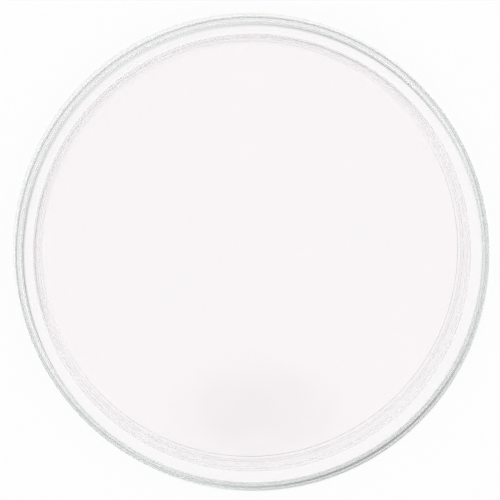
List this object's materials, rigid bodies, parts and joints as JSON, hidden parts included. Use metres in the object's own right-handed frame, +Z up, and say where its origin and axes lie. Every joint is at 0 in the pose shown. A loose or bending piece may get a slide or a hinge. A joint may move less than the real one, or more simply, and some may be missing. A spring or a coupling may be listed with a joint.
{
  "type": "petri dish",
  "caption": "Clear plastic petri dish: a shallow round dish with a loose, wider lid whose raised rim lets dishes stack.",
  "frame": {"origin": "centre of the plane that the dish's foot ring stands on", "axes": "+Z up, along the axis that both pieces are round about; X and Y are free, because nothing on the object marks a direction"},
  "size_m": [0.094, 0.094, 0.015],
  "materials": {
    "dish_plastic": "polished",
    "lid_plastic": "polished"
  },
  "bodies": {
    "dish": {"dish": "dish_plastic"},
    "lid": {"lid": "lid_plastic"}
  },
  "joints": [
    {"name": "lid_lift", "type": "slide", "parent": "dish", "child": "lid", "axis": [0, 0, 1], "range_m": [0, 0.02]}
  ]
}
